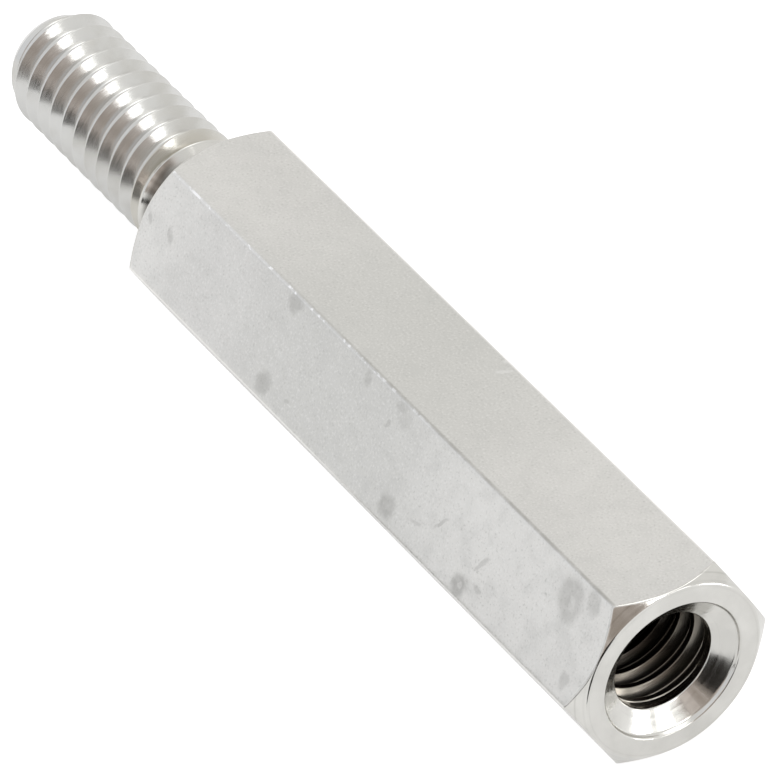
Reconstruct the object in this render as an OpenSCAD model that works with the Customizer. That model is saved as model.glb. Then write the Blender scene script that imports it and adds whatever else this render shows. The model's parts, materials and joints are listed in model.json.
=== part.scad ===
// Male to female hex standoff, turned from drawn hexagon bar and plated.
// It lies on one flat: the bar's axis runs along X, with the stud towards -X
// and the tapped hole opening towards +X. The origin is on the resting
// surface, under the middle of the overall length. Sizes are in millimetres.

/* [Hex body] */
// Width across the flats of the hexagon bar
across_flats = 6; // [5.5:0.5:12]
// Length of the hexagon body, without the stud
body_len = 25; // [18:1:80]
// Depth by which the drawn bar's corners are blunted
corner_blunt = 0.015; // [0.005:0.005:0.1]
// Angle of the turned corner chamfers, measured from the end face
chamfer_angle = 40; // [20:1:45]
// Distance of the chamfer's circle on the end face inside the flats
chamfer_inset = 0.04; // [0.01:0.01:0.1]

/* [Thread] */
// Nominal diameter of the stud's thread and of the tapped hole
thread_d = 4; // [3:0.5:4.5]
// Pitch of both threads
thread_pitch = 0.7; // [0.5:0.05:0.8]
// Amount by which the stud's crests lie under the nominal diameter
crest_allowance = 0.08; // [0.02:0.01:0.16]

/* [Stud] */
// Length of the stud, from the shoulder to its tip
stud_len = 10; // [4:0.5:20]
// Length of the taper at the stud's tip
tip_taper_len = 0.75; // [0.3:0.05:1.5]
// Depth of the tip's taper below the thread's crests
tip_taper_depth = 0.5; // [0.2:0.05:0.9]
// Length of the relief groove between the thread and the shoulder
relief_len = 1.5; // [1.2:0.1:2.5]
// Depth of the relief groove below the thread's crests
relief_depth = 0.5; // [0.3:0.05:0.7]
// Clearance of the shoulder's flat seat outside the thread's crests
seat_clearance = 0.05; // [0.02:0.01:0.1]

/* [Tapped hole] */
// Depth of the hole at its full diameter
hole_depth = 12; // [6:0.5:15]
// Point angle of the drill that made the hole
drill_point_angle = 118; // [90:1:140]
// Width of the countersunk mouth beyond the nominal thread, all round
mouth_margin = 0.2; // [0.1:0.05:0.35]
// Full angle of the countersink
countersink_angle = 118; // [90:1:120]
// Depth of the flared lip outside the countersink
lip_depth = 0.22; // [0.1:0.02:0.5]
// Width by which the lip flares out to the end face
lip_flare = 0.14; // [0.04:0.02:0.2]

/* [Hidden] */

// Fine enough that every turned surface counts as round
$fn = 96;

// Length by which a cut or a joined shape runs past the face it meets
run_past = 1;

// Colour of bright nickel plating
nickel = [0.81, 0.80, 0.78];

// Hexagon: angle from a corner to the middle of a flat, and radius to the
// sharp corners and to the blunted ones
hex_sides = 6;
half_side_angle = 180 / hex_sides;
sharp_corner_r = across_flats / 2 / cos(half_side_angle);
corner_r = sharp_corner_r - corner_blunt;

// Chamfer: circle left on the end face, and fall of the cone to the corners
chamfer_face_r = across_flats / 2 - chamfer_inset;
chamfer_fall = (corner_r - chamfer_face_r) * tan(chamfer_angle);

// Stud: outside of the crests, flat end of the tapered tip, and relief groove with
// the fillet that brings it out past the crests, so a plate can lie on the shoulder
crest_r = (thread_d - crest_allowance) / 2;
tip_r = crest_r - tip_taper_depth;
relief_r = crest_r - relief_depth;
shoulder_fillet = relief_depth + seat_clearance;

// Hole: tapping drill, end of its full width, its conical point, the countersunk
// mouth, and the lip's radius where its cone runs past the end face
tap_drill_r = (thread_d - thread_pitch) / 2;
hole_end = body_len - hole_depth;
drill_point_len = tap_drill_r / tan(drill_point_angle / 2);
mouth_r = thread_d / 2 + mouth_margin;
countersink_depth = (mouth_r - tap_drill_r) / tan(countersink_angle / 2);
lip_end_r = mouth_r + lip_flare * (1 + run_past / lip_depth);

// Places along the bar, with the middle of the overall length at zero
overall_len = body_len + stud_len;
shoulder_x = stud_len - overall_len / 2;
axis_height = across_flats / 2;

// Stands its children on the bar's axis, with their +Z pointing to the tapped end
module on_axis(x) {
    translate([x, 0, axis_height])
        rotate([0, 90, 0])
            children();
}

// Half outline of the body as the lathe leaves it: blunted corners and both chamfers
module turned_outline() {
    polygon([
        [0, 0],
        [chamfer_face_r, 0],
        [corner_r, chamfer_fall],
        [corner_r, body_len - chamfer_fall],
        [chamfer_face_r, body_len],
        [0, body_len]
    ]);
}

// Hexagon bar with a flat underneath, cut to the turned outline: the cones
// leave a curved edge on each flat
module chamfered_bar() {
    intersection() {
        rotate([0, 0, half_side_angle])
            cylinder(r = sharp_corner_r, h = body_len, $fn = hex_sides);
        rotate_extrude()
            turned_outline();
    }
}

// Half outline of the blind hole: drill point, tapping drill, countersink and flared lip
module hole_outline() {
    polygon([
        [0, hole_end - drill_point_len],
        [tap_drill_r, hole_end],
        [tap_drill_r, body_len - lip_depth - countersink_depth],
        [mouth_r, body_len - lip_depth],
        [lip_end_r, body_len + run_past],
        [0, body_len + run_past]
    ]);
}

// Half outline of the stud, from inside the body over the relief groove, with its
// wall at 45 degrees, to the tapered tip
module stud_outline() {
    polygon([
        [0, -run_past],
        [relief_r, -run_past],
        [relief_r, relief_len - relief_depth],
        [crest_r, relief_len],
        [crest_r, stud_len - tip_taper_len],
        [tip_r, stud_len],
        [0, stud_len]
    ]);
}

// Half outline of the fillet between the relief groove and the shoulder
module fillet_outline() {
    difference() {
        translate([relief_r - shoulder_fillet, 0])
            square([shoulder_fillet * 2, shoulder_fillet]);
        translate([relief_r + shoulder_fillet, shoulder_fillet])
            circle(r = shoulder_fillet);
    }
}

// Stud at the size of its thread's crests, standing on the shoulder
module stud() {
    rotate([180, 0, 0]) {
        rotate_extrude()
            stud_outline();
        rotate_extrude()
            fillet_outline();
    }
}

module hex_standoff() {
    color(nickel)
        on_axis(shoulder_x) {
            difference() {
                chamfered_bar();
                rotate_extrude()
                    hole_outline();
            }
            stud();
        }
}

hex_standoff();
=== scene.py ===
# %% [markdown]
# # A plated hex standoff
# A standoff holds two boards apart. This one is a length of hexagon bar: a
# lathe turned a threaded stud on one end, drilled and tapped the other, and
# took the corners off both ends. It was then plated with bright nickel.
# The lesson models it as one piece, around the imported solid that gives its
# main sizes, and then dresses it and lights it.

import json
import math

import bmesh
import bpy
from mathutils import Matrix, Vector


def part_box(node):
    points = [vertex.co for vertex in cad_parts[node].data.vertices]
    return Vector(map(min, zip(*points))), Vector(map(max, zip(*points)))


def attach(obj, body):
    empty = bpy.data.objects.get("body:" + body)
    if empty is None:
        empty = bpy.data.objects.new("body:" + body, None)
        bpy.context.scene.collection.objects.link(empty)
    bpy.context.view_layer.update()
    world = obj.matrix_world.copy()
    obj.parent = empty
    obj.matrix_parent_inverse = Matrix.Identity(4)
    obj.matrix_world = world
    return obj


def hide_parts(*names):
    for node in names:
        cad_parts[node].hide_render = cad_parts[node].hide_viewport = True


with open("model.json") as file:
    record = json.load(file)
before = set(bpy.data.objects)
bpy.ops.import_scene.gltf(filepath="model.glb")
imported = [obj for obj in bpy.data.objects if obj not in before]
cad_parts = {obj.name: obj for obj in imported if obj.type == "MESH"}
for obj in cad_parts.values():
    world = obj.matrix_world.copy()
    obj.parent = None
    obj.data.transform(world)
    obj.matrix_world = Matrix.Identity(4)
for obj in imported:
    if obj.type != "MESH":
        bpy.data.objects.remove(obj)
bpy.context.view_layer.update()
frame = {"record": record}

# %% [markdown]
# ## Sizes
# The solid already knows the main sizes: its mounts give the stud, the hole and
# both end faces, and its box gives the bar. They could be typed again, but
# reading them keeps the two models alike. Only what the solid doesn't say, such
# as the form of the thread and how soft the edges are, is written here, in the
# cell that needs it. The part is modelled as it sat in the lathe, standing on
# its axis with the shoulder at zero and the tapped end upwards, in millimetres.

# %% Sizes from the solid
MM = 0.001
mounts = {mount["name"]: mount for mount in frame["record"]["mounts"]}
low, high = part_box("hex_standoff")

axis_height = mounts["stud"]["pos_m"][2] / MM
shoulder_x = mounts["shoulder_face"]["pos_m"][0] / MM
tapped_x = mounts["tapped_face"]["pos_m"][0] / MM
body_len = tapped_x - shoulder_x
stud_len = shoulder_x - low.x / MM
crest_r = mounts["stud"]["dims"]["r_mm"]
tap_drill_r = mounts["tapped_hole"]["dims"]["r_mm"]
across_flats = (high.z - low.z) / MM
corner_r = high.y / MM
thread_pitch = 0.7
thread_d = 2 * tap_drill_r + thread_pitch
print(f"bar {across_flats:.2f} across flats, body {body_len:.2f}, stud {stud_len:.2f} long")
print(f"thread {thread_d:.1f} x {thread_pitch}")

# %% [markdown]
# ## Helpers for ring modelling
# Almost every surface here is a row of rings: the chamfers, the end faces, the
# relief groove, the countersink. A turned part is drawn as an outline in a
# plane through its axis, so one helper rounds the corners of such an outline,
# and another extrudes a ring of edges along it. A new point keeps the direction
# from the axis of the point that it grew from, as on a lathe.

# %% Outline helpers
ARC_STEPS = 4
# Share of a side that a rounding may take, and how far past it the supporting point lies
LONGEST_RUN = 0.4
SUPPORT_REACH = 1.2


def soft_outline(corners, soft):
    """Points of an outline whose inner corners are rounded, by less where a side is short.
    A point just before and after each rounding keeps the straight sides flat to the eye."""
    corners = [Vector(corner) for corner in corners]
    points = corners[:1]
    for before, corner, after in zip(corners, corners[1:], corners[2:]):
        back = before - corner
        ahead = after - corner
        wanted = soft * math.tan((math.pi - back.angle(ahead)) / 2)
        run = min(wanted, back.length * LONGEST_RUN, ahead.length * LONGEST_RUN)
        first = corner + back.normalized() * run
        last = corner + ahead.normalized() * run
        points.append(corner + back.normalized() * run * SUPPORT_REACH)
        for count in range(ARC_STEPS + 1):
            share = count / ARC_STEPS
            points.append(first.lerp(corner, share).lerp(corner.lerp(last, share), share))
        points.append(corner + ahead.normalized() * run * SUPPORT_REACH)
    return points + corners[-1:]


# %% Ring helpers
def radius_of(vert):
    """Distance of a point from the lathe's axis."""
    return math.hypot(vert.co.x, vert.co.y)


def place(vert, radius, height):
    """Moves a point to a radius and a height, keeping its direction from the axis."""
    share = radius / radius_of(vert)
    vert.co = Vector((vert.co.x * share, vert.co.y * share, height))


def only(kind, items):
    """The points, edges or faces among the items that an operator gives back."""
    return [item for item in items if isinstance(item, kind)]


def open_ring(bm, height, slack=1e-4):
    """The edges of an open border that lie at one height."""
    return [
        edge for edge in bm.edges
        if edge.is_boundary and all(abs(vert.co.z - height) < slack for vert in edge.verts)
    ]


def grow(bm, ring, outline_of):
    """Extrudes a ring of edges along an outline of (radius, height) that each point gives."""
    levels = len(outline_of(ring[0].verts[0]))
    for level in range(1, levels):
        grown = bmesh.ops.extrude_edge_only(bm, edges=ring)["geom"]
        for vert in only(bmesh.types.BMVert, grown):
            place(vert, *outline_of(vert)[level])
        ring = [edge for edge in only(bmesh.types.BMEdge, grown) if edge.is_boundary]
    return ring


# %% [markdown]
# ## The hexagon bar
# Drawn bar has slightly rounded corners, and these catch a thin line of light
# all along the part. A six-sided cylinder with bevelled edges would do, but its
# ends need more points. So the outline starts as a six-sided circle, its
# corners get a vertex bevel, and the long sides are subdivided, so that the
# curved edge of the chamfer has enough points. One extrude makes the whole bar.

# %% Hexagon outline and bar
# Numbers of the four finishes, and the length that is left for the chamfer at each end
DRAWN, TURNED, THREADED, TAPPED = 0, 1, 2, 3
END_MARGIN = 0.8
SIDE_CUTS = 31
HEX_SIDES = 6
HALF_SIDE = math.radians(180 / HEX_SIDES)
sharp_corner_r = across_flats / math.sqrt(3)
corner_soft = (sharp_corner_r - corner_r) / (1 / math.cos(HALF_SIDE) - 1)
corner_run = corner_soft * math.tan(HALF_SIDE)

bm = bmesh.new()
bmesh.ops.create_circle(bm, cap_ends=True, segments=HEX_SIDES, radius=sharp_corner_r)
bmesh.ops.translate(bm, verts=bm.verts[:], vec=(0, 0, END_MARGIN))
bmesh.ops.bevel(
    bm, geom=bm.verts[:], offset=corner_run, offset_type="OFFSET", affect="VERTICES",
    segments=ARC_STEPS, profile=0.5, material=-1,
)
long_sides = [edge for edge in bm.edges if edge.calc_length() > across_flats / 4]
bmesh.ops.subdivide_edges(bm, edges=long_sides, cuts=SIDE_CUTS)
raised = bmesh.ops.extrude_face_region(bm, geom=bm.faces[:])["geom"]
top_verts = only(bmesh.types.BMVert, raised)
bmesh.ops.translate(bm, verts=top_verts, vec=(0, 0, body_len - 2 * END_MARGIN))
caps = [face for face in bm.faces if len(face.verts) > 4]
bmesh.ops.delete(bm, geom=caps, context="FACES_ONLY")
print("bar:", len(bm.faces), "faces, corner radius", round(corner_soft, 3), "mm")

# %% [markdown]
# ## Chamfered ends
# The lathe cut each end with a tool at a fixed angle, which leaves a cone. A
# cone meets a flat in a curve that is lowest at the corners. A boolean with a
# cone would give that too, but with long thin faces. In a plane through the
# axis the outline is simple: up the flat, along the cone, along the end face.
# Only the flat's distance from the axis changes from point to point, so each
# point carries that distance in a layer and gets its own outline.

# %% Chamfer both ends
chamfer_angle = math.radians(40)
chamfer_inset = 0.04
chamfer_face_r = across_flats / 2 - chamfer_inset
edge_soft = 0.11
mouth_margin = 0.2
mouth_r = thread_d / 2 + mouth_margin
face_inner_margin = 0.45
face_inner_r = mouth_r + face_inner_margin
FLAT_TILT = 0.02

flat_radius = bm.verts.layers.float.new("flat_radius")
for vert in bm.verts:
    vert[flat_radius] = radius_of(vert)


def chamfer_outline(flat_r, end_height, inward):
    """Outline from a flat at a distance from the axis, over the chamfer, on to an end face."""
    fall = (flat_r - chamfer_face_r) * math.tan(chamfer_angle)
    depths = [(flat_r, END_MARGIN), (flat_r, fall), (chamfer_face_r, 0), (face_inner_r, 0)]
    return soft_outline([(radius, end_height + inward * depth) for radius, depth in depths], edge_soft)


tapped_border = open_ring(bm, body_len - END_MARGIN)
grow(bm, tapped_border, lambda vert: chamfer_outline(vert[flat_radius], body_len, -1))
shoulder_border = open_ring(bm, END_MARGIN)
grow(bm, shoulder_border, lambda vert: chamfer_outline(vert[flat_radius], 0, 1))
bm.normal_update()
for face in bm.faces:
    face.material_index = DRAWN if abs(face.normal.z) < FLAT_TILT else TURNED
print("bar with chamfers:", len(bm.faces), "faces")

# %% [markdown]
# ## Thread helpers
# A screw thread is one outline, a ridge with sloping flanks, carried round the
# axis while it climbs one pitch a turn. A Screw modifier could do it, but here
# the ends need more work, and Blender's spin does the same when it gets a step
# along the axis. The ridge's corners are rounded first, because a worn and
# plated crest is soft. One turn is enough: the others are copies, a pitch
# apart, and merging the doubles makes one skin of them.

# %% Spin a thread
TURN_STEPS = 80
THREAD_SOFT = 0.1


def spin_thread(root_r, root_half, ridge_r, ridge_half, first, last, phase):
    """A thread's skin that covers first to last along the axis, in a bmesh of its own.
    Its root and its ridge have these radii, and flats of these half widths."""
    start = first - thread_pitch
    start -= (start - phase) % thread_pitch
    turns = math.ceil((last - start) / thread_pitch) + 1
    middle = thread_pitch / 2
    corners = [
        (ridge_r, 0), (ridge_r, ridge_half), (root_r, middle - root_half),
        (root_r, middle + root_half), (ridge_r, thread_pitch - ridge_half), (ridge_r, thread_pitch),
    ]
    ridge = soft_outline(corners, THREAD_SOFT)
    skin = bmesh.new()
    points = [skin.verts.new((radius, 0, start + along)) for radius, along in ridge]
    for pair in zip(points, points[1:]):
        skin.edges.new(pair)
    bmesh.ops.spin(
        skin, geom=skin.verts[:] + skin.edges[:], cent=(0, 0, 0), axis=(0, 0, 1),
        angle=2 * math.pi, dvec=(0, 0, thread_pitch / TURN_STEPS), steps=TURN_STEPS, use_merge=False,
    )
    one_turn = skin.verts[:] + skin.edges[:] + skin.faces[:]
    for turn in range(1, turns):
        copied = bmesh.ops.duplicate(skin, geom=one_turn)["geom"]
        verts = only(bmesh.types.BMVert, copied)
        bmesh.ops.translate(skin, verts=verts, vec=(0, 0, turn * thread_pitch))
    bmesh.ops.remove_doubles(skin, verts=skin.verts[:], dist=1e-3)
    return skin


# %% Trim and join a thread
def trim(skin, lowest, highest):
    """Cuts a skin off below the lowest height and above the highest one."""
    for height, below in ((lowest, True), (highest, False)):
        bmesh.ops.bisect_plane(
            skin, geom=skin.verts[:] + skin.edges[:] + skin.faces[:], dist=1e-6,
            plane_co=(0, 0, height), plane_no=(0, 0, 1), clear_inner=below, clear_outer=not below,
        )


def join(bm, other):
    """Adds another bmesh to this one and frees it."""
    spare = bpy.data.meshes.new("spare")
    other.to_mesh(spare)
    other.free()
    bm.from_mesh(spare)
    bpy.data.meshes.remove(spare)


def ease(value, start, end):
    """A smooth step from 0 at start to 1 at end."""
    share = min(max((value - start) / (end - start), 0.0), 1.0)
    return share * share * (3 - 2 * share)


# %% [markdown]
# ## The stud
# The die cut the thread from the tip to the edge of the relief groove, where
# its last turn fades out. The thread is a little shallower than the standard
# form, because its soft highlights show that. The tip is a short cone: points
# that would stand outside it are brought in, which costs no boolean. The relief
# groove goes down to the shoulder, where a fillet keeps the stud from breaking
# off.

# %% External thread
thread_depth = 0.51 * thread_pitch
stud_phase = 0.3
tip_height = -stud_len
tip_taper_len = 0.75
tip_taper_depth = 0.5
tip_r = crest_r - tip_taper_depth
tip_trim = 0.08
# Points beyond the tip keep this radius until they are cut off
least_r = tip_r / 2
relief_len = 1.5
plain_edge = 0.06
thread_end = -relief_len - plain_edge
run_out = (-relief_len - 0.08, -relief_len - 0.3)

stud = spin_thread(
    root_r=crest_r - thread_depth, root_half=thread_pitch / 12, ridge_r=crest_r,
    ridge_half=thread_pitch / 32, first=tip_height, last=0, phase=stud_phase,
)
for vert in stud.verts:
    height = vert.co.z
    grooved = ease(height, *run_out)
    radius = crest_r + (radius_of(vert) - crest_r) * grooved
    taper_r = tip_r + tip_taper_depth * (height - tip_height) / tip_taper_len
    place(vert, min(radius, max(taper_r, least_r)), height)
trim(stud, tip_height + tip_trim, thread_end)
for face in stud.faces:
    face.material_index = THREADED
print("stud thread:", len(stud.faces), "faces,", round(thread_depth, 2), "mm deep")

# %% Tip of the stud
TIP_SOFT = 0.12
tip_flat_r = tip_r * 0.6
thread_faces = set(stud.faces)

tip_outline = soft_outline(
    [
        (tip_r + tip_taper_depth * tip_trim / tip_taper_len, tip_height + tip_trim),
        (tip_r, tip_height), (tip_flat_r, tip_height),
    ],
    TIP_SOFT,
)
tip_ring = grow(stud, open_ring(stud, tip_height + tip_trim), lambda vert: tip_outline)
bmesh.ops.edgeloop_fill(stud, edges=tip_ring)
print("tip:", len(stud.faces) - len(thread_faces), "faces")

# %% Relief groove and shoulder fillet
GROOVE_SOFT = 0.04
FILLET_STEPS = 8
relief_depth = 0.5
relief_r = crest_r - relief_depth
groove_foot = -relief_len + relief_depth
seat_clearance = 0.05
shoulder_fillet = relief_depth + seat_clearance
seat_ring = 0.3

groove_outline = soft_outline(
    [(crest_r, thread_end), (crest_r, -relief_len), (relief_r, groove_foot), (relief_r, -shoulder_fillet)],
    GROOVE_SOFT,
)
for count in range(1, FILLET_STEPS + 1):
    turn = math.radians(90) * count / FILLET_STEPS
    out = 1 - math.cos(turn)
    down = 1 - math.sin(turn)
    groove_outline.append((relief_r + shoulder_fillet * out, -shoulder_fillet * down))
groove_outline.append((crest_r + seat_ring, 0))
grow(stud, open_ring(stud, thread_end), lambda vert: groove_outline)
for face in set(stud.faces) - thread_faces:
    face.material_index = TURNED
join(bm, stud)
print("stud joined:", len(bm.faces), "faces in all")

# %% [markdown]
# ## The tapped hole
# The hole was drilled, tapped and countersunk. Its thread is the same helix
# turned inside out: the ridges stand at the drill's radius and the grooves go
# outwards to the thread's full diameter, so the same helper makes it. The
# countersink ends in a clean rim, and the first groove starts just below it.
# Its cone runs a little past the solid's and its lip is soft, as on the real
# part. Below the last turn of the tap the drill's plain wall and point remain.

# %% Internal thread
hole_phase = 0.2
hole_depth = 12.0
tapped_depth = 10.0
hole_end = body_len - hole_depth
lip_depth = 0.22
# Full angle of the drill's point and of the countersink, in degrees
cone_angle = 118
cone_slope = math.tan(math.radians(cone_angle / 2))
mouth_depth = lip_depth + (mouth_r - tap_drill_r) / cone_slope
rim_len = 0.1
rim_depth = mouth_depth + rim_len
drill_point_len = tap_drill_r / cone_slope

hole = spin_thread(
    root_r=thread_d / 2, root_half=thread_pitch / 12, ridge_r=tap_drill_r,
    ridge_half=thread_pitch / 8, first=hole_end, last=body_len, phase=hole_phase,
)
for vert in hole.verts:
    depth = body_len - vert.co.z
    grooved = ease(depth, rim_depth, rim_depth + thread_pitch / 2)
    grooved *= ease(depth, tapped_depth, tapped_depth - thread_pitch)
    place(vert, tap_drill_r + (radius_of(vert) - tap_drill_r) * grooved, vert.co.z)
trim(hole, hole_end, body_len - rim_depth)
drilled = bmesh.ops.extrude_edge_only(hole, edges=open_ring(hole, hole_end))["geom"]
point = only(bmesh.types.BMVert, drilled)
bmesh.ops.pointmerge(hole, verts=point, merge_co=(0, 0, hole_end - drill_point_len))
for face in hole.faces:
    face.material_index = TAPPED
print("hole with thread and drill point:", len(hole.faces), "faces")

# %% Countersink and lip
MOUTH_SOFT = 0.15
cone_past = 0.08
cone_end_depth = 0.13
lip_flare = 0.14
thread_faces = set(hole.faces)

mouth_outline = soft_outline(
    [
        (tap_drill_r, body_len - rim_depth),
        (tap_drill_r, body_len - mouth_depth),
        (mouth_r + cone_past, body_len - cone_end_depth),
        (mouth_r + lip_flare, body_len),
        (mouth_r + lip_flare * 2, body_len),
    ],
    MOUTH_SOFT,
)
grow(hole, open_ring(hole, body_len - rim_depth), lambda vert: mouth_outline)
for face in set(hole.faces) - thread_faces:
    face.material_index = TURNED
join(bm, hole)
print("hole and countersink joined:", len(bm.faces), "faces in all")

# %% [markdown]
# ## Closing the ends
# Each end now has two open rings in one plane: the chamfer's and the one of the
# hole or the stud. Bridging them would cross faces, because the rings differ in
# their number of points. Filling the flat ring between them with triangles
# doesn't mind that, and it closes the part.

# %% Fill the end faces
for height, facing in ((0, -1), (body_len, 1)):
    filled = bmesh.ops.triangle_fill(
        bm, use_beauty=True, edges=open_ring(bm, height), normal=(0, 0, facing),
    )["geom"]
    faces = only(bmesh.types.BMFace, filled)
    for face in faces:
        face.material_index = TURNED
    print("end face at", height, "mm:", len(faces), "faces")

# %% [markdown]
# ## From the lathe to the table
# The finished part is turned from its lathe position to where the solid lies:
# the axis goes along X with the tapped end towards +X, and a flat is on the
# table. The turn and the move go into the mesh, so the object itself stays at
# the origin. Edges sharper than a chosen angle stay crisp under smooth shading.

# %% Place the standoff
SHARP_ANGLE = math.radians(28)

bmesh.ops.remove_doubles(bm, verts=bm.verts[:], dist=1e-5)
bmesh.ops.recalc_face_normals(bm, faces=bm.faces[:])
to_table = (
    Matrix.Translation((shoulder_x * MM, 0, axis_height * MM))
    @ Matrix.Rotation(math.radians(90), 4, "Y")
    @ Matrix.Scale(MM, 4)
)
bmesh.ops.transform(bm, matrix=to_table, verts=bm.verts[:])
open_edges = sum(not edge.is_manifold for edge in bm.edges)
mesh = bpy.data.meshes.new("plated_standoff")
bm.to_mesh(mesh)
bm.free()
for polygon in mesh.polygons:
    polygon.use_smooth = True
mesh.set_sharp_from_angle(angle=SHARP_ANGLE)
standoff = bpy.data.objects.new("plated_standoff", mesh)
bpy.context.scene.collection.objects.link(standoff)
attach(standoff, "root")
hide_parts("hex_standoff")
mesh.calc_loop_triangles()
print("standoff:", len(mesh.loop_triangles), "triangles,", open_edges, "open edges")

# %% [markdown]
# ## Helpers for the finishes
# Colours are written as they look on a screen, in sRGB hex, and one function
# turns them to the linear values that the shader wants. Another adds a node
# with its options and links, so that a finish reads as a short list. Patterns
# are laid out in millimetres from the part's axis, so their scales come from
# real sizes: names that end in WIDTH are widths of a pattern in millimetres.

# %% Material helpers
SMOOTH = {"interpolation_type": "SMOOTHSTEP"}
TIMES = {"operation": "MULTIPLY"}
COLOURS = {"data_type": "RGBA"}


def linear(hex_colour):
    """Linear red, green, blue and alpha of an sRGB hex colour."""
    parts = [int(hex_colour[start:start + 2], 16) / 255 for start in (1, 3, 5)]
    return [part / 12.92 if part <= 0.04045 else ((part + 0.055) / 1.055) ** 2.4 for part in parts] + [1.0]


def add(tree, kind, *values, **options):
    """Adds a node and gives back its first output; .node.outputs has them all.
    Values go into the inputs in the order that the node shows them: an output is
    linked, a number or a colour is set, and None leaves an input as it is."""
    node = tree.nodes.new("ShaderNode" + kind)
    for name, option in options.items():
        setattr(node, name, option)
    shown = [socket for socket in node.inputs if socket.enabled]
    for socket, value in zip(shown, values):
        if isinstance(value, bpy.types.NodeSocket):
            tree.links.new(value, socket)
        elif value is not None:
            socket.default_value = value
    return next(socket for socket in node.outputs if socket.enabled)


def new_material(name):
    """A material with one Principled shader; gives back both, with the tree between them."""
    material = bpy.data.materials.new(name)
    material.use_nodes = True
    return material, material.node_tree, material.node_tree.nodes["Principled BSDF"]


def from_axis(tree):
    """Millimetres along X and away from the part's axis."""
    metres = add(tree, "TexCoord").node.outputs["Object"]
    return add(tree, "Mapping", metres, (0, 0, -axis_height), None, [1 / MM] * 3)


# %% [markdown]
# ## Satin flats
# The flats keep the skin of the drawn bar under the plating, so they are satin
# and a little cloudy. A picture of such metal could be wrapped round them, but
# noises have no seams. Three of them do it: clouds a few millimetres wide,
# mottling, and a fine grain. The colour changes little, because a metal's colour
# is what it gives back of the room.

# %% Satin nickel for the flats
# Nickel over drawn brass bar: to the eye it is soft and grey. Greyer in the middle of the bar is painted
# shade, and paler at both ends of the front is painted sheen.
CLOUD_WIDTH = 1 / 0.3
UPPER_EDGE_TURN = math.radians(-30)
# Where the painted shade and the painted sheen change, in millimetres along the bar
GREYER_FROM = (-4.0, 2.0)
GREYER_TO = (13.0, 5.0)
PALER_BY_HOLE = (5.0, 12.0)
PALER_BY_STUD = (-4.0, -7.0)
# Where the front side begins, in millimetres across the upper edge
FRONT_SIDE = (0.05, -0.05)

flats, tree, shader = new_material("satin_nickel_on_drawn_bar")
mesh.materials.append(flats)
coords = from_axis(tree)
along, _, height = add(tree, "SeparateXYZ", coords).node.outputs
to_edge = add(tree, "Mapping", coords, None, (UPPER_EDGE_TURN, 0, 0))
_, edge_side, edge_out = add(tree, "SeparateXYZ", to_edge).node.outputs

clouds = add(tree, "TexNoise", coords, 1 / CLOUD_WIDTH, 3.0)
clouds = add(tree, "MapRange", clouds, 0.34, 0.68, **SMOOTH)
colour = add(tree, "Mix", clouds, linear("#d3d2cf"), linear("#d9d8d5"), **COLOURS)
# Painted shade: all flats are greyer in the middle of the bar
past_stud = add(tree, "MapRange", along, *GREYER_FROM, 0.0, 0.6, **SMOOTH)
before_hole = add(tree, "MapRange", along, *GREYER_TO, **SMOOTH)
middle = add(tree, "Math", past_stud, before_hole, **TIMES)
colour = add(tree, "Mix", middle, colour, linear("#c8c8c4"), **COLOURS)
# Painted sheen: the front flat is paler towards both ends
by_hole = add(tree, "MapRange", along, *PALER_BY_HOLE, 0.0, 0.5, **SMOOTH)
by_stud = add(tree, "MapRange", along, *PALER_BY_STUD, 0.0, 0.35, **SMOOTH)
painted_end_sheen = add(tree, "Math", by_hole, by_stud, operation="ADD")
on_front = add(tree, "MapRange", edge_side, *FRONT_SIDE, **SMOOTH)
painted_end_sheen = add(tree, "Math", painted_end_sheen, on_front, **TIMES)
colour = add(tree, "Mix", painted_end_sheen, colour, linear("#e8e7e3"), **COLOURS)
print("flats: clouds and tones in", len(tree.nodes), "nodes")

# %% Mottling and grain of the flats
# The real grain is finer still. It is drawn as coarse as it needs to be to show in the picture.
MOTTLE_WIDTH = 1 / 1.7
GRAIN_WIDTH = 1 / 13
mottling = add(tree, "TexNoise", coords, 1 / MOTTLE_WIDTH, 5.0)
mottling = add(tree, "MapRange", mottling, 0.40, 0.72, 0.0, 0.25, **SMOOTH)
colour = add(tree, "Mix", mottling, colour, linear("#c6c6c3"), **COLOURS)
grain = add(tree, "TexNoise", coords, 1 / GRAIN_WIDTH, 3.0)
bright_grain = add(tree, "MapRange", grain, 0.50, 0.75, 0.0, 0.42, **SMOOTH)
colour = add(tree, "Mix", bright_grain, colour, linear("#ecebe9"), **COLOURS)
dark_grain = add(tree, "MapRange", grain, 0.44, 0.24, 0.0, 0.5, **SMOOTH)
colour = add(tree, "Mix", dark_grain, colour, linear("#b2b1ad"), **COLOURS)
print("flats: three noises in", len(tree.nodes), "nodes")
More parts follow.
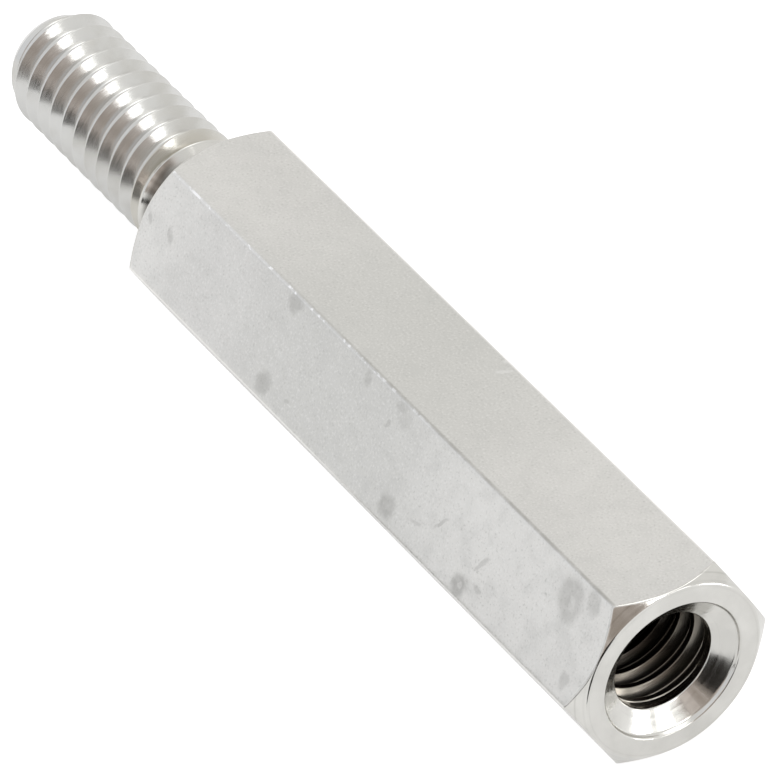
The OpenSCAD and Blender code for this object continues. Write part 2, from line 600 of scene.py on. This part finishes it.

# %% [markdown]
# ## Stains on the flats
# Drops dried on the plating and left dull ovals, two of them clearer in the
# middle, and a few short scratches cross the front flat. A noise alone would
# put them anywhere. So each mark is a stretched, turned ellipse at a given
# place: how far along the bar, how far across the flat, its half length and
# half width, and its turn. A noise bends the ellipses, so that no
# edge is a perfect curve.

# %% Places of stains and scratches
FRONT_MARKS = [
    # along, across, half length, half width, turn, darkness
    (0.15, 1.40, 0.35, 0.30, 30, 0.36), (0.30, -1.20, 0.45, 0.40, 30, 0.40),
    (1.50, -1.15, 0.12, 0.08, 30, 0.25), (-6.00, 0.10, 0.16, 0.35, 30, 0.28),
    (-7.10, 0.00, 0.12, 0.25, 30, 0.35), (7.20, -1.20, 0.42, 0.42, 30, 0.42),
    (11.20, -1.35, 0.38, 0.42, 30, 0.50), (15.45, 0.95, 0.60, 0.75, 30, 0.44),
    (16.35, 1.40, 0.30, 0.50, 30, 0.24), (16.60, -1.10, 0.24, 0.26, 30, 0.30),
    (4.25, 1.40, 0.15, 0.25, 30, 0.25), (6.05, 1.50, 0.30, 0.25, 30, 0.25),
    (6.40, 1.25, 0.40, 0.30, 30, 0.18), (14.50, 0.50, 0.06, 0.05, 0, 0.40),
    (9.50, -0.30, 0.40, 0.08, 50, 0.32), (11.70, -0.30, 0.40, 0.09, 62, 0.28),
    (8.50, -0.90, 0.30, 0.08, 20, 0.20), (11.95, -1.00, 0.20, 0.10, 0, 0.25),
    (5.75, 0.80, 0.18, 0.08, 53, 0.38),
]
HOLLOWS = [
    # along, across, half length, half width, turn, what is left of the stain
    (11.25, -1.32, 0.12, 0.14, 30, 0.55), (15.60, 0.85, 0.16, 0.34, 30, 0.55),
]
TOP_STREAKS = [
    # along, across, half length, half width, turn, lightness
    (6.55, 1.35, 0.30, 0.09, 62, 0.20), (6.20, 1.65, 0.14, 0.07, 40, 0.18),
]
print("stains:", len(FRONT_MARKS), "marks,", len(HOLLOWS), "hollows,", len(TOP_STREAKS), "streaks")

# %% Draw the stains and scratches
FRONT_FLAT_TURN = math.radians(-60)
MARK_EDGE = (1.2, 0.5)
BEND_WIDTH = 1 / 2.2
BEND_REACH = (0.4, 0.4, 0)
BLOTCH_WIDTH = 1 / 3.5


def mark(tree, coords, along, across, half_length, half_width, turn):
    """A value that is 1 inside an ellipse on a flat and 0 outside it."""
    inside = add(
        tree, "Mapping", coords, (along, across, across_flats / 2), (0, 0, math.radians(turn)),
        (half_length, half_width, 1), vector_type="TEXTURE",
    )
    reach = add(tree, "VectorMath", inside, operation="LENGTH")
    return add(tree, "MapRange", reach, *MARK_EDGE, **SMOOTH)


front = add(tree, "Mapping", coords, None, (FRONT_FLAT_TURN, 0, 0))
bend = add(tree, "TexNoise", front, 1 / BEND_WIDTH, 4.0).node.outputs["Color"]
bend = add(tree, "VectorMath", bend, (0.5, 0.5, 0.5), operation="SUBTRACT")
front = add(tree, "VectorMath", bend, BEND_REACH, front, operation="MULTIPLY_ADD")
stain = 0.0
for *shape, darkness in FRONT_MARKS:
    dark = add(tree, "Math", mark(tree, front, *shape), darkness, **TIMES)
    stain = add(tree, "Math", stain, dark, operation="MAXIMUM")
for *shape, left in HOLLOWS:
    kept = add(tree, "MapRange", mark(tree, front, *shape), 0.0, 1.0, 1.0, left, **SMOOTH)
    stain = add(tree, "Math", stain, kept, **TIMES)
blotches = add(tree, "TexNoise", front, 1 / BLOTCH_WIDTH, 3.0)
blotches = add(tree, "MapRange", blotches, 0.3, 0.7, 0.75, 1.1, **SMOOTH)
stain = add(tree, "Math", stain, blotches, **TIMES)
colour = add(tree, "Mix", stain, colour, linear("#94938f"), **COLOURS)
for *shape, lightness in TOP_STREAKS:
    streak = add(tree, "Math", mark(tree, coords, *shape), lightness, **TIMES)
    colour = add(tree, "Mix", streak, colour, linear("#ffffff"), **COLOURS)
print("flats with stains:", len(tree.nodes), "nodes")

# %% [markdown]
# ## Worn corners with painted highlights and painted shade
# Handling has rubbed the bar's corners, and they are painted brighter: rubbed wear
# and painted highlight. The underside and the lower part of the flats beside it,
# up to a straight line, are painted nearly white: painted light over the mirrored
# shadow of the floor. A point's distance from the axis tells where the corners
# are, so no mask has to be painted. On the edge between the top and the front the
# rubbing and its painted highlight are strongest near the stud, where they
# sparkle, and die away towards the tapped end, where the edge is a thin dark line
# of painted shade instead.

# %% Corners and underside of the bar
# Bands in millimetres from the axis, and heights above it
corner_band = (corner_r - 0.018, corner_r - 0.006)
edge_band = (corner_r - 0.10, corner_r - 0.06)
painted_light_below = (-corner_r / 2, -corner_r / 2 - 0.05)

across = add(tree, "VectorMath", coords, (0, 1, 1), **TIMES)
radius = add(tree, "VectorMath", across, operation="LENGTH")
# Rubbed wear and painted highlight: the corners' rounding is lightened
corner = add(tree, "MapRange", radius, *corner_band, 0.0, 0.7, **SMOOTH)
on_edge = add(tree, "MapRange", edge_out, *edge_band, **SMOOTH)
off_edge = add(tree, "MapRange", on_edge, 1.0, 0.0, **SMOOTH)
corner = add(tree, "Math", corner, off_edge, **TIMES)
colour = add(tree, "Mix", corner, colour, linear("#f0efec"), **COLOURS)
# Painted light: the underside and the lower flats are painted nearly white up to a straight line
painted_pale_underside = add(tree, "MapRange", height, *painted_light_below, 0.0, 0.9, **SMOOTH)
colour = add(tree, "Mix", painted_pale_underside, colour, linear("#fbfaf8"), **COLOURS)
print("flats with corners:", len(tree.nodes), "nodes")

# %% The edge between the top and the front
DARK_LINE_BREAKUP_WIDTH = 1 / 1.3
PAINTED_SPARKLE_WIDTH = 1 / 3.6
# Where the painted dark line and the rubbed, painted highlight band begin and end, in millimetres across
# the edge
LINE_FRONT = (-0.05, 0.01)
LINE_BACK = (0.11, 0.04)
RUBBED_HIGHLIGHT_FRONT = (-0.08, -0.04)
RUBBED_HIGHLIGHT_BACK = (0.04, 0.0)
# Where both fade, in millimetres along the bar
LINE_GROWS = (-4.0, 7.0)
RUBBED_HIGHLIGHT_GROWS = (11.0, -1.0)

# Painted shade: a thin dark line along the edge, fading in towards the tapped end
line_front = add(tree, "MapRange", edge_side, *LINE_FRONT, **SMOOTH)
line_back = add(tree, "MapRange", edge_side, *LINE_BACK, **SMOOTH)
painted_dark_line = add(tree, "Math", line_front, line_back, **TIMES)
painted_dark_line = add(tree, "Math", painted_dark_line, on_edge, **TIMES)
dark_line_breakup = add(tree, "TexNoise", coords, 1 / DARK_LINE_BREAKUP_WIDTH, 3.0)
dark_line_breakup = add(tree, "MapRange", dark_line_breakup, 0.35, 0.65, 0.30, 0.62, **SMOOTH)
painted_dark_line = add(tree, "Math", painted_dark_line, dark_line_breakup, **TIMES)
towards_hole = add(tree, "MapRange", along, *LINE_GROWS, 0.1, 1.0, **SMOOTH)
painted_dark_line = add(tree, "Math", painted_dark_line, towards_hole, **TIMES)
colour = add(tree, "Mix", painted_dark_line, colour, linear("#96948e"), **COLOURS)

# Rubbed wear and painted highlight: a white band with painted sparkles, strongest near the stud
rubbed_highlight_front = add(tree, "MapRange", edge_side, *RUBBED_HIGHLIGHT_FRONT, **SMOOTH)
rubbed_highlight_back = add(tree, "MapRange", edge_side, *RUBBED_HIGHLIGHT_BACK, **SMOOTH)
rubbed_highlight = add(tree, "Math", rubbed_highlight_front, rubbed_highlight_back, **TIMES)
rubbed_highlight = add(tree, "Math", rubbed_highlight, on_edge, **TIMES)
painted_sparkle = add(tree, "TexNoise", coords, 1 / PAINTED_SPARKLE_WIDTH, 2.0)
painted_sparkle = add(tree, "MapRange", painted_sparkle, 0.54, 0.64, 0.20, 1.0, **SMOOTH)
rubbed_highlight = add(tree, "Math", rubbed_highlight, painted_sparkle, **TIMES)
towards_stud = add(tree, "MapRange", along, *RUBBED_HIGHLIGHT_GROWS, 0.05, 1.0, **SMOOTH)
rubbed_highlight = add(tree, "Math", rubbed_highlight, towards_stud, **TIMES)
colour = add(tree, "Mix", rubbed_highlight, colour, linear("#ffffff"), **COLOURS)
print("flats with the worn edge:", len(tree.nodes), "nodes")

# %% Finish the flats
mottled_dull = add(tree, "MapRange", mottling, 0.0, 0.25, 0.30, 0.37, **SMOOTH)
stained_dull = add(tree, "Math", stain, 0.1, **TIMES)
dull = add(tree, "Math", mottled_dull, stained_dull, operation="ADD")
tree.links.new(colour, shader.inputs["Base Color"])
tree.links.new(dull, shader.inputs["Roughness"])
shader.inputs["Metallic"].default_value = 1.0
print(flats.name, "done:", len(tree.nodes), "nodes")

# %% [markdown]
# ## Turned faces
# A lathe tool leaves fine rings round the axis: circles on the end faces,
# bands on the cones. A wave texture would make them too even. A noise that
# depends only on the distance from the axis and on the place along it draws
# them, in the colour and in a slight bump. In the relief groove the front side
# is painted dark, painted shade.

# %% Helpers for turned metal
def lathe_rings(tree, ring_width):
    """Coordinates in millimetres, and a noise in rings of this width round the axis."""
    coords = from_axis(tree)
    along, across, up = add(tree, "SeparateXYZ", coords).node.outputs
    outwards = add(tree, "CombineXYZ", None, across, up)
    radius = add(tree, "VectorMath", outwards, operation="LENGTH")
    rings = add(tree, "CombineXYZ", along, radius)
    return coords, add(tree, "TexNoise", rings, 1 / ring_width, 3.0)


def finish_metal(tree, shader, colour, roughness, rings, ring_depth):
    """Links colour and roughness, and rings so many millimetres deep."""
    bump = add(tree, "Bump", 1.0, ring_depth * MM, None, rings)
    tree.links.new(colour, shader.inputs["Base Color"])
    tree.links.new(roughness, shader.inputs["Roughness"])
    tree.links.new(bump, shader.inputs["Normal"])
    shader.inputs["Metallic"].default_value = 1.0


# %% Turned nickel
# Nickel over turned brass: to the eye it is bright and mirrors softly, with faint rings.
TURNED_RING_WIDTH = 1 / 6
TURNED_RING_DEPTH = 0.0012
TURNED_CLOUD_WIDTH = 1 / 0.9
# Where the groove's painted shade begins and ends along the bar, and across it on the front side
groove_x = shoulder_x - relief_len
groove_shade_from = (groove_x + 0.02, groove_x + 0.16)
groove_shade_to = (shoulder_x - 0.02, shoulder_x - 0.12)
groove_shade_front = (-0.6, -1.1)

turned, tree, shader = new_material("bright_nickel_on_turned_faces")
mesh.materials.append(turned)
coords, rings = lathe_rings(tree, TURNED_RING_WIDTH)
clouds = add(tree, "TexNoise", coords, 1 / TURNED_CLOUD_WIDTH, 3.0)
clouds = add(tree, "MapRange", clouds, 0.35, 0.65, **SMOOTH)
colour = add(tree, "Mix", clouds, linear("#cbcac6"), linear("#d4d3cf"), **COLOURS)
dark_rings = add(tree, "MapRange", rings, 0.45, 0.25, 0.0, 0.5, **SMOOTH)
colour = add(tree, "Mix", dark_rings, colour, linear("#b4b3ae"), **COLOURS)

along, across, _ = add(tree, "SeparateXYZ", coords).node.outputs
past_wall = add(tree, "MapRange", along, *groove_shade_from, **SMOOTH)
before_shoulder = add(tree, "MapRange", along, *groove_shade_to, **SMOOTH)
in_groove = add(tree, "Math", past_wall, before_shoulder, **TIMES)
in_front = add(tree, "MapRange", across, *groove_shade_front, 0.0, 0.65, **SMOOTH)
painted_groove_shade = add(tree, "Math", in_groove, in_front, **TIMES)
# Painted shade: the front side of the relief groove is painted dark
colour = add(tree, "Mix", painted_groove_shade, colour, linear("#4a463f"), **COLOURS)
dull = add(tree, "MapRange", rings, 0.3, 0.7, 0.11, 0.17, **SMOOTH)
finish_metal(tree, shader, colour, dull, rings, TURNED_RING_DEPTH)
print(turned.name, "done:", len(tree.nodes), "nodes")

# %% [markdown]
# ## Threads
# The die left the stud's thread smooth and bright, with a trace of old cutting
# oil that greys it in places; its last turn is tinted a darker olive. Inside the
# tapped hole the colour is painted darker inwards, painted shade of the deep
# hole: its first turns are dull grey nickel, and deeper it is near black. One
# material for both would be too bright inside, so each has its own, and both use
# the ring pattern of the turned faces, finer.

# %% Nickel on the stud's thread
# Nickel over a cut thread: to the eye it is bright, with long soft highlights.
THREAD_RING_WIDTH = 1 / 9
THREAD_RING_DEPTH = 0.003
OIL_WIDTH = 1 / 0.8
tinted_x = (shoulder_x - 2.4, shoulder_x - 2.0)

stud_metal, tree, shader = new_material("bright_nickel_on_cut_thread")
mesh.materials.append(stud_metal)
coords, rings = lathe_rings(tree, THREAD_RING_WIDTH)
oil = add(tree, "TexNoise", coords, 1 / OIL_WIDTH, 4.0)
oil = add(tree, "MapRange", oil, 0.35, 0.70, **SMOOTH)
colour = add(tree, "Mix", oil, linear("#d1d1cf"), linear("#c6c5c1"), **COLOURS)
along = add(tree, "SeparateXYZ", coords)
# The last turn, beside the relief groove, is tinted a darker olive
last_turn = add(tree, "MapRange", along, *tinted_x, 0.0, 0.4, **SMOOTH)
colour = add(tree, "Mix", last_turn, colour, linear("#bab4a4"), **COLOURS)
dull = add(tree, "MapRange", oil, 0.0, 1.0, 0.20, 0.27, **SMOOTH)
finish_metal(tree, shader, colour, dull, rings, THREAD_RING_DEPTH)
print(stud_metal.name, "done:", len(tree.nodes), "nodes")

# %% Dark metal in the tapped hole
# Thin nickel over tapped brass: to the eye it is dull, and its colour is painted darker deeper in the
# hole, painted shade.
mouth_x = tapped_x - mouth_depth
shade_inwards_x = (mouth_x - 0.1, mouth_x - 1.2)
dark_x = (mouth_x - 1.6, mouth_x - 2.8)

hole_metal, tree, shader = new_material("nickel_in_tapped_hole_painted_darker_inwards")
mesh.materials.append(hole_metal)
coords, rings = lathe_rings(tree, THREAD_RING_WIDTH)
along = add(tree, "SeparateXYZ", coords)
# Painted shade: the bore's colour darkens from the mouth inwards, to near black deeper down
painted_shade_inwards = add(tree, "MapRange", along, *shade_inwards_x, **SMOOTH)
colour = add(tree, "Mix", painted_shade_inwards, linear("#aeaaa2"), linear("#7c776f"), **COLOURS)
dark = add(tree, "MapRange", along, *dark_x, **SMOOTH)
colour = add(tree, "Mix", dark, colour, linear("#262321"), **COLOURS)
dull = add(tree, "MapRange", painted_shade_inwards, 0.0, 1.0, 0.20, 0.26, **SMOOTH)
finish_metal(tree, shader, colour, dull, rings, THREAD_RING_DEPTH)
print(hole_metal.name, "done:", len(tree.nodes), "nodes")
print("materials:", [material.name for material in mesh.materials])

# %% [markdown]
# ## Floor
# The part lies on a sheet of white paper. More light would make the paper white
# but bleach the metal. So the camera and the metal see the sheet lifted to
# white, as an overexposed sheet is in a catalogue picture, and it still takes
# the part's soft shadow.

# %% Floor
FLOOR_HALF = 1.5
floor_bm = bmesh.new()
bmesh.ops.create_grid(floor_bm, x_segments=1, y_segments=1, size=FLOOR_HALF)
floor_mesh = bpy.data.meshes.new("floor")
floor_bm.to_mesh(floor_mesh)
floor_bm.free()
floor = bpy.data.objects.new("floor", floor_mesh)
bpy.context.scene.collection.objects.link(floor)
print("floor:", 2 * FLOOR_HALF, "metres wide")

# %% White paper
# Uncoated paper: to the eye it is even and has no shine at all.
CAMERA_LIFT = 0.71
MIRROR_LIFT = 0.47


def matt(shader, hex_colour):
    """Makes a shader one colour without shine, for what stands round the part."""
    shader.inputs["Base Color"].default_value = linear(hex_colour)
    shader.inputs["Roughness"].default_value = 1.0
    shader.inputs["Specular IOR Level"].default_value = 0.0


paper, tree, shader = new_material("white_paper")
floor_mesh.materials.append(paper)
matt(shader, "#c8c8c8")
path = add(tree, "LightPath").node.outputs
mirrored = add(tree, "Math", path["Is Glossy Ray"], path["Is Transmission Ray"], operation="MAXIMUM")
lift = add(tree, "Math", mirrored, MIRROR_LIFT, **TIMES)
lift = add(tree, "Math", path["Is Camera Ray"], CAMERA_LIFT, lift, operation="MULTIPLY_ADD")
glow = add(tree, "Emission", linear("#ffffff"), lift)
both = add(tree, "AddShader", shader.outputs["BSDF"], glow)
tree.links.new(both, tree.nodes["Material Output"].inputs["Surface"])
print(paper.name, "lifted by", CAMERA_LIFT, "for the camera and", MIRROR_LIFT, "in the metal")

# %% [markdown]
# ## Studio light
# Bright metal shows the room more than itself. A picture of a room could light
# it, but a few nodes are enough: the room is white and full of soft light, warm
# overhead and behind, and cooler in front. Only a patch low on the tapped end's
# side is dim and brownish, with soft shapes in it, and the metal mirrors that as
# darker lines. It is set in the world by direction, so it stays where it is when
# the camera moves.

# %% World
ROOM_LEVEL = 0.97
DIM_LEVEL = 0.95
DIM_TOWARDS = Vector((0.90, -0.36, 0.22)).normalized()
DIM_EDGE = (math.cos(math.radians(38)), math.cos(math.radians(28)))
FRONT = (0, -1, 0)
COOLER_FROM = (-0.4, 0.7)
DIM_SHAPES = 6.0

world = bpy.data.worlds.new("studio")
bpy.context.scene.world = world
world.use_nodes = True
tree = world.node_tree
towards = add(tree, "TexCoord").node.outputs["Generated"]
facing = add(tree, "VectorMath", towards, DIM_TOWARDS, operation="DOT_PRODUCT")
dim = add(tree, "MapRange", facing, *DIM_EDGE, **SMOOTH)
to_front = add(tree, "VectorMath", towards, FRONT, operation="DOT_PRODUCT")
cool = add(tree, "MapRange", to_front, *COOLER_FROM, **SMOOTH)
room = add(tree, "Mix", cool, linear("#fffefc"), linear("#fafbfe"), **COLOURS)
shapes = add(tree, "TexNoise", towards, DIM_SHAPES, 2.0)
shapes = add(tree, "MapRange", shapes, 0.40, 0.62, **SMOOTH)
brown = add(tree, "Mix", shapes, linear("#b0a59c"), linear("#f8eee8"), **COLOURS)
tint = add(tree, "Mix", dim, room, brown, **COLOURS)
level = add(tree, "MapRange", dim, 0.0, 1.0, ROOM_LEVEL, DIM_LEVEL, **SMOOTH)
seen = add(tree, "LightPath").node.outputs["Is Camera Ray"]
tint = add(tree, "Mix", seen, tint, linear("#ffffff"), **COLOURS)
level = add(tree, "Mix", seen, level, 1.0, data_type="FLOAT")
tree.links.new(tint, tree.nodes["Background"].inputs["Color"])
tree.links.new(level, tree.nodes["Background"].inputs["Strength"])
print("world:", len(tree.nodes), "nodes")

# %% [markdown]
# ## Lamps and dark cards
# Four soft lamps give the highlights: one on the thread, two low ones beside the
# tapped end that shine on the countersink and into the hole, and one overhead.
# Three dark cards lie in front, where the thread, the countersink and a corner
# of the chamfer mirror them. Dark lines could be painted on the metal, but they
# would not move as mirrored ones do, so photographers use such cards. Lamps and
# cards are hidden from the camera, which sees only the paper.

# %% Lamps
def softbox(name, place_mm, aim_mm, width, height, radiance):
    """A lamp that faces a point; its power follows from how bright its face is."""
    lamp = bpy.data.lights.new(name, "AREA")
    lamp.shape = "RECTANGLE"
    lamp.size = width * MM
    lamp.size_y = height * MM
    lamp.energy = radiance * math.pi * lamp.size * lamp.size_y
    holder = bpy.data.objects.new(name, lamp)
    turn = (Vector(place_mm) - Vector(aim_mm)).to_track_quat("Z", "Y").to_matrix().to_4x4()
    holder.matrix_world = Matrix.Translation(Vector(place_mm) * MM) @ turn
    holder.visible_camera = False
    bpy.context.scene.collection.objects.link(holder)
    print(name, "at", place_mm, "mm,", width, "x", height, "mm")


# Name, place and aim in millimetres, width, height, and brightness of the lamp's face
softbox("thread_lamp", (422, 100, 233), (-13, 0, 4), 105, 105, 5.0)
softbox("countersink_lamp", (56, 22, 15), (17, 0, 3), 11, 9, 2.6)
softbox("hole_lamp", (43, 31, 4), (17, 0, 3), 14, 8, 6.0)
softbox("top_softbox", (125, 175, 450), (0, 0, 3), 300, 300, 1.3)

# %% Dark cards
# Black felt: to the eye it is nearly black and has no shine.
CARD_LIFT = 0.3
felt, tree, shader = new_material("black_felt")
matt(shader, "#2a2826")


def dark_card(name, outline, height):
    """A flat card on the floor, folded up along the edge between its last two corners."""
    card_bm = bmesh.new()
    corners = [card_bm.verts.new(Vector((x, y, CARD_LIFT)) * MM) for x, y in outline]
    card_bm.faces.new(corners)
    raised = [card_bm.verts.new(corner.co + Vector((0, 0, height * MM))) for corner in corners[-2:]]
    card_bm.faces.new([corners[-2], corners[-1], raised[1], raised[0]])
    card_mesh = bpy.data.meshes.new(name)
    card_bm.to_mesh(card_mesh)
    card_bm.free()
    card_mesh.materials.append(felt)
    card = bpy.data.objects.new(name, card_mesh)
    bpy.context.scene.collection.objects.link(card)
    card.visible_camera = False
    card.visible_diffuse = False
    card.visible_shadow = False
    print(name, "with", len(outline), "corners,", height, "mm high")


# Name, corners on the floor in millimetres, and height of the side that is folded up
dark_card("card_by_stud", [(-3.5, -14.3), (2, -6.5), (346, -167), (296, -248)], 35)
dark_card("card_by_hole", [(21, -3.8), (21.5, -0.8), (27, 0.2), (401, -60), (340, -195)], 60)
dark_card("card_by_corner", [(57, -45), (67, -35), (68, -36), (58, -46)], 10)

# %% [markdown]
# ## Camera
# The camera stands where the photograph was taken from. Its place was worked
# out from the bar's edges in the picture: it is far off and has a long lens, so
# that edges which are parallel on the part are nearly parallel in the picture.

# %% Camera
EYE = Vector((178.8, -104.55, 172.8))
AIM = Vector((2.26, 0.0, 3.0))
ROLL = math.radians(-2.34)
SENSOR = 36.0
LENS = 414.0
NEAREST = 0.01

camera = bpy.data.cameras.new("camera")
camera.sensor_width = SENSOR
camera.lens = LENS
camera.clip_start = NEAREST
camera_holder = bpy.data.objects.new("camera", camera)
look = (AIM - EYE).to_track_quat("-Z", "Y").to_matrix().to_4x4()
camera_holder.matrix_world = Matrix.Translation(EYE * MM) @ look @ Matrix.Rotation(ROLL, 4, "Z")
bpy.context.scene.collection.objects.link(camera_holder)
bpy.context.scene.camera = camera_holder
bpy.context.scene.view_settings.view_transform = "Standard"
print("camera:", round((EYE - AIM).length), "mm from the part, lens", LENS, "mm")

# %% Finish
bpy.context.view_layer.update()
